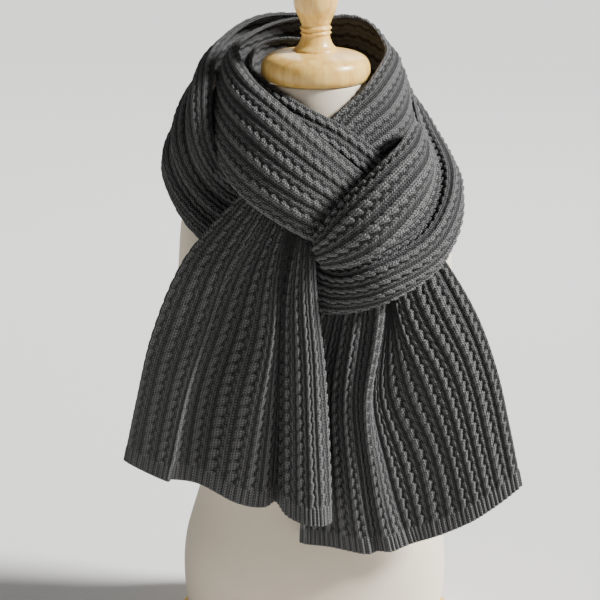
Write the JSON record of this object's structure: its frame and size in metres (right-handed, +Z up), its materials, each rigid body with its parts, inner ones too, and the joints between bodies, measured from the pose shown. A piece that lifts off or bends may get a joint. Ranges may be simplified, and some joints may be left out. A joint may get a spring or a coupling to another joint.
{
  "type": "knit scarf on a dress form",
  "caption": "Long chunky rib-knit scarf wound round the neck of a table-top dress form, its ends hanging in front.",
  "frame": {"origin": "centre of the neck's axis on the underside of the base board, where the form stands", "axes": "+Z up along the neck's axis, -Y the way the form's chest faces, +X to the right of someone who faces it"},
  "size_m": [0.4558, 0.3314, 0.798],
  "materials": {
    "scarf_knit": "charcoal grey chunky wool knit, matt and slightly fuzzy",
    "form_cover": "off-white cotton jersey stretched over the form",
    "cap_wood": "turned honey-coloured beech, satin varnish",
    "board_wood": "honey-coloured beech board, satin varnish"
  },
  "bodies": {
    "root": {"collar_left": "scarf_knit", "collar_under": "scarf_knit", "collar_right": "scarf_knit", "drape_left": "scarf_knit", "drape_right": "scarf_knit", "knot_fold": "scarf_knit", "tail_left": "scarf_knit", "tail_right": "scarf_knit", "form_body": "form_cover", "neck_cap": "cap_wood", "base_board": "board_wood"}
  },
  "joints": []
}
